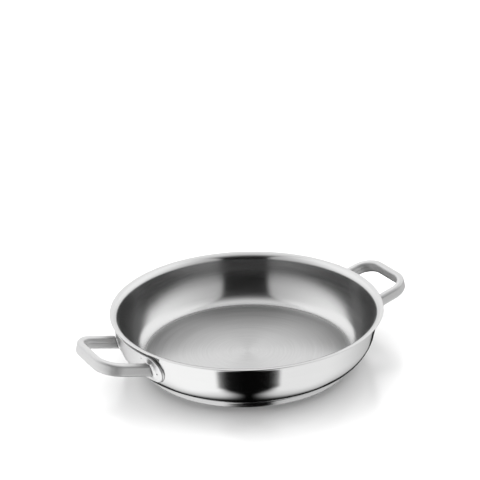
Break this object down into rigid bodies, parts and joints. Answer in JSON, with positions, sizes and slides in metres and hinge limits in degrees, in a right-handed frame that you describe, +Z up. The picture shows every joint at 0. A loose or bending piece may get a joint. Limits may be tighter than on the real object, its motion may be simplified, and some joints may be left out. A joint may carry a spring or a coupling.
{
  "type": "serving pan",
  "caption": "Round stainless steel serving pan with a rolled pouring rim, a heat-spreading base and hollow loop handles on welded brackets.",
  "frame": {"origin": "middle of the base's underside", "axes": "+X along the line through both handles, +Z up through the pan's mouth"},
  "size_m": [0.3834, 0.2938, 0.06],
  "materials": {
    "pan_steel": "drawn stainless steel, finely brushed round the pan",
    "core_aluminium": "plain rolled aluminium",
    "cap_steel": "stainless steel, turned on its face and bright on its edge",
    "bracket_steel": "polished stainless steel",
    "grip_steel": "satin stainless steel"
  },
  "bodies": {
    "root": {"pan_body": "pan_steel", "base_core": "core_aluminium", "base_cap": "cap_steel", "left_handle_bracket": "bracket_steel", "left_handle_upper_shell": "grip_steel", "left_handle_lower_shell": "grip_steel", "right_handle_bracket": "bracket_steel", "right_handle_upper_shell": "grip_steel", "right_handle_lower_shell": "grip_steel"}
  },
  "joints": []
}
